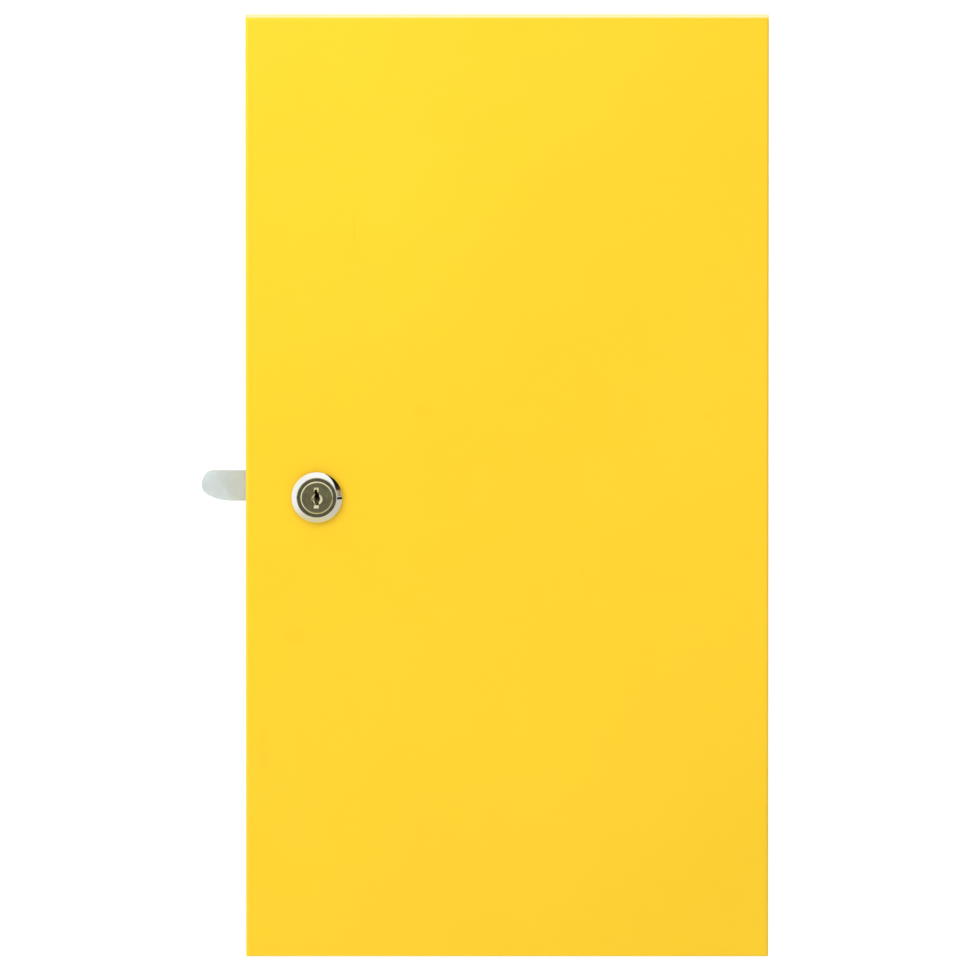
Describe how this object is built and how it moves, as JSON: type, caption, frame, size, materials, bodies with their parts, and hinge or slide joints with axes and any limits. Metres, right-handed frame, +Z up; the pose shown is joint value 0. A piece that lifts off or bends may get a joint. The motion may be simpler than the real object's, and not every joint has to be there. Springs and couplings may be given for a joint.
{
  "type": "mailbox door",
  "caption": "Tall folded sheet-steel mailbox door on two hidden butt hinges, with a quarter-turn cam lock whose flat cam reaches past the free edge.",
  "frame": {"origin": "middle of the seat face of the lower hinge's case-side leaf, between its two screw holes", "axes": "+Z up along the hinge axis, +X out of the hinge seat towards the case's side wall (the door's hinged edge is to +X, its lock edge to -X), +Y from the front face back into the case"},
  "size_m": [0.2712, 0.0507, 0.452],
  "materials": {
    "yellow_paint": "smooth gloss powder coat",
    "chrome": "polished",
    "dark_nickel": "satin, turned",
    "zinc_plate": "bright zinc plate",
    "brass": "stamped, bare",
    "spring_steel": "bare, oiled"
  },
  "bodies": {
    "case_side": {"hinge_case_leaf_lower": "zinc_plate", "hinge_pin_lower": "zinc_plate", "hinge_case_leaf_upper": "zinc_plate", "hinge_pin_upper": "zinc_plate"},
    "door": {"door_panel": "yellow_paint", "hinge_door_leaf_lower": "zinc_plate", "hinge_stud_lower_bottom": "zinc_plate", "hinge_nut_lower_bottom": "zinc_plate", "hinge_stud_lower_top": "zinc_plate", "hinge_nut_lower_top": "zinc_plate", "hinge_door_leaf_upper": "zinc_plate", "hinge_stud_upper_bottom": "zinc_plate", "hinge_nut_upper_bottom": "zinc_plate", "hinge_stud_upper_top": "zinc_plate", "hinge_nut_upper_top": "zinc_plate", "lock_bezel": "chrome", "lock_housing": "dark_nickel", "lock_tooth_washer": "zinc_plate", "lock_nut": "zinc_plate"},
    "lock_cylinder": {"key_plug": "dark_nickel", "wafer_1": "brass", "wafer_2": "brass", "wafer_3": "brass", "wafer_4": "brass", "wafer_5": "brass", "wafer_spring_1": "spring_steel", "wafer_spring_2": "spring_steel", "wafer_spring_3": "spring_steel", "wafer_spring_4": "spring_steel", "wafer_spring_5": "spring_steel", "stop_washer": "zinc_plate", "lock_cam": "zinc_plate", "cam_spring_washer": "spring_steel", "cam_screw": "zinc_plate"}
  },
  "joints": [
    {"name": "door_swing", "type": "hinge", "parent": "case_side", "child": "door", "pos_m": [-0.003, -0.015, 0], "axis": [0, 0, 1], "range_deg": [0, 90]},
    {"name": "lock_turn", "type": "hinge", "parent": "door", "child": "lock_cylinder", "pos_m": [-0.2145, -0.0353, 0.1616], "axis": [0, 1, 0], "range_deg": [0, 90]}
  ]
}
